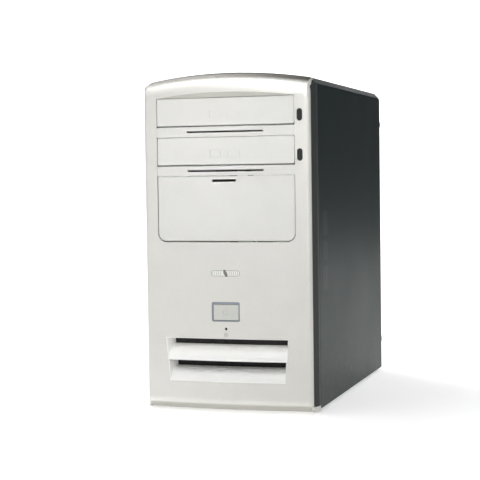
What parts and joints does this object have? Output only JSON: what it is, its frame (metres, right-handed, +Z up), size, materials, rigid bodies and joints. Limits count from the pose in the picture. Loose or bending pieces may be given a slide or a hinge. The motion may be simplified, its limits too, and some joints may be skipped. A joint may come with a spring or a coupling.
{
  "type": "desktop computer tower",
  "caption": "Compact upright computer case with a crowned silver front, drive trays, drop-down bay door, louvred intake and dark steel sides.",
  "frame": {"origin": "centre of the bounding box in plan, on the floor under the feet", "axes": "+Z up, -Y out of the front face, +X to the right seen from the front"},
  "size_m": [0.1952, 0.365, 0.368],
  "materials": {
    "silver_shell": "fine metallic satin paint",
    "silver_bay": "fine metallic satin paint",
    "dark_trim": "satin",
    "badge": "satin",
    "louvre_silver": "satin",
    "filter_foam": "open foam",
    "lens": "gloss",
    "ring": "satin metallic",
    "power_silver": "satin metallic",
    "circuit_board": "lacquered",
    "black_plastic": "fine texture",
    "tray_plastic": "fine texture",
    "zinc_steel": "zinc plated",
    "charcoal_steel": "fine powder coat",
    "screw_steel": "plated",
    "foot_rubber": "matt",
    "disk_casting": "cast",
    "fan_black": "satin",
    "fan_grey": "satin",
    "chrome_wire": "bright",
    "heatsink": "milled",
    "socket_plastic": "satin",
    "board_parts": "satin",
    "port_metal": "nickel plated",
    "lead_jacket": "satin",
    "rocker_black": "gloss",
    "selector_red": "gloss"
  },
  "bodies": {
    "case": {"front_bezel": "silver_shell", "bezel_trims": "dark_trim", "bay_strips": "silver_bay", "badge_plate": "badge", "intake_louvres": "louvre_silver", "intake_filter": "filter_foam", "indicator_lenses": "lens", "power_button_ring": "ring", "front_switch_board": "circuit_board", "optical_drive_lower": "zinc_steel", "optical_drive_upper": "zinc_steel", "bay_liner": "dark_trim", "floppy_drive": "black_plastic", "front_port_sockets": "black_plastic", "hard_disk": "disk_casting", "chassis_front": "zinc_steel", "chassis_base": "zinc_steel", "rear_panel": "zinc_steel", "motherboard_wall": "zinc_steel", "drive_cage": "zinc_steel", "top_cover": "charcoal_steel", "feet": "foot_rubber", "psu_case": "zinc_steel", "psu_internals": "board_parts", "psu_fan_frame": "fan_black", "psu_fan_guard": "chrome_wire", "power_inlet": "black_plastic", "rear_fan_frame": "fan_black", "motherboard": "circuit_board", "board_sockets": "socket_plastic", "board_components": "board_parts", "memory_modules": "circuit_board", "cpu_heatsink": "heatsink", "cpu_fan_frame": "fan_black", "rear_io_ports": "port_metal", "io_shield": "port_metal", "expansion_card": "circuit_board", "slot_covers": "zinc_steel", "case_screws": "screw_steel", "power_lead": "lead_jacket", "data_lead": "lead_jacket"},
    "upper_tray": {"upper_tray": "tray_plastic", "upper_tray_front": "silver_bay"},
    "lower_tray": {"lower_tray": "tray_plastic", "lower_tray_front": "silver_bay"},
    "bay_door": {"bay_door": "silver_bay", "door_hinge_pins": "screw_steel"},
    "upper_eject_button": {"eject_button_upper": "black_plastic"},
    "lower_eject_button": {"eject_button_lower": "black_plastic"},
    "floppy_eject_button": {"floppy_eject_button": "black_plastic"},
    "power_button": {"power_button": "power_silver"},
    "rear_fan_rotor": {"rear_fan_rotor": "fan_grey"},
    "psu_fan_rotor": {"psu_fan_rotor": "fan_grey"},
    "cpu_fan_rotor": {"cpu_fan_rotor": "fan_grey"},
    "psu_switch_rocker": {"psu_switch_rocker": "rocker_black"},
    "voltage_selector": {"voltage_selector": "selector_red"},
    "right_panel": {"side_panel_right": "charcoal_steel", "thumbscrews_right": "screw_steel"},
    "left_panel": {"side_panel_left": "charcoal_steel", "thumbscrews_left": "screw_steel"}
  },
  "joints": [
    {"name": "upper_tray_slide", "type": "slide", "parent": "case", "child": "upper_tray", "axis": [0, -1, 0], "range_m": [0, 0.135]},
    {"name": "lower_tray_slide", "type": "slide", "parent": "case", "child": "lower_tray", "axis": [0, -1, 0], "range_m": [0, 0.135]},
    {"name": "bay_door_hinge", "type": "hinge", "parent": "case", "child": "bay_door", "pos_m": [0, -0.17702, 0.1926], "axis": [1, 0, 0], "range_deg": [0, 92]},
    {"name": "upper_eject_press", "type": "slide", "parent": "case", "child": "upper_eject_button", "axis": [0, 1, 0], "range_m": [0, 0.0018], "stiffness_N_per_m": 400},
    {"name": "lower_eject_press", "type": "slide", "parent": "case", "child": "lower_eject_button", "axis": [0, 1, 0], "range_m": [0, 0.0018], "stiffness_N_per_m": 400},
    {"name": "floppy_eject_press", "type": "slide", "parent": "case", "child": "floppy_eject_button", "axis": [0, 1, 0], "range_m": [0, 0.004], "stiffness_N_per_m": 400},
    {"name": "power_button_press", "type": "slide", "parent": "case", "child": "power_button", "axis": [0, 1, 0], "range_m": [0, 0.002], "stiffness_N_per_m": 500},
    {"name": "rear_fan_spin", "type": "hinge", "parent": "case", "child": "rear_fan_rotor", "pos_m": [-0.028, 0.15848, 0.205], "axis": [0, 1, 0], "continuous": true},
    {"name": "psu_fan_spin", "type": "hinge", "parent": "case", "child": "psu_fan_rotor", "pos_m": [-0.023, 0.15848, 0.313], "axis": [0, 1, 0], "continuous": true},
    {"name": "cpu_fan_spin", "type": "hinge", "parent": "case", "child": "cpu_fan_rotor", "pos_m": [0.025, 0.09348, 0.19], "axis": [1, 0, 0], "continuous": true},
    {"name": "psu_switch_rock", "type": "hinge", "parent": "case", "child": "psu_switch_rocker", "pos_m": [0.052, 0.16947, 0.296], "axis": [1, 0, 0], "range_deg": [0, 18]},
    {"name": "voltage_selector_slide", "type": "slide", "parent": "case", "child": "voltage_selector", "axis": [1, 0, 0], "range_m": [0, 0.0074]},
    {"name": "right_panel_slide", "type": "slide", "parent": "case", "child": "right_panel", "axis": [0, 1, 0], "range_m": [0, 0.33]},
    {"name": "left_panel_slide", "type": "slide", "parent": "case", "child": "left_panel", "axis": [0, 1, 0], "range_m": [0, 0.33]}
  ]
}
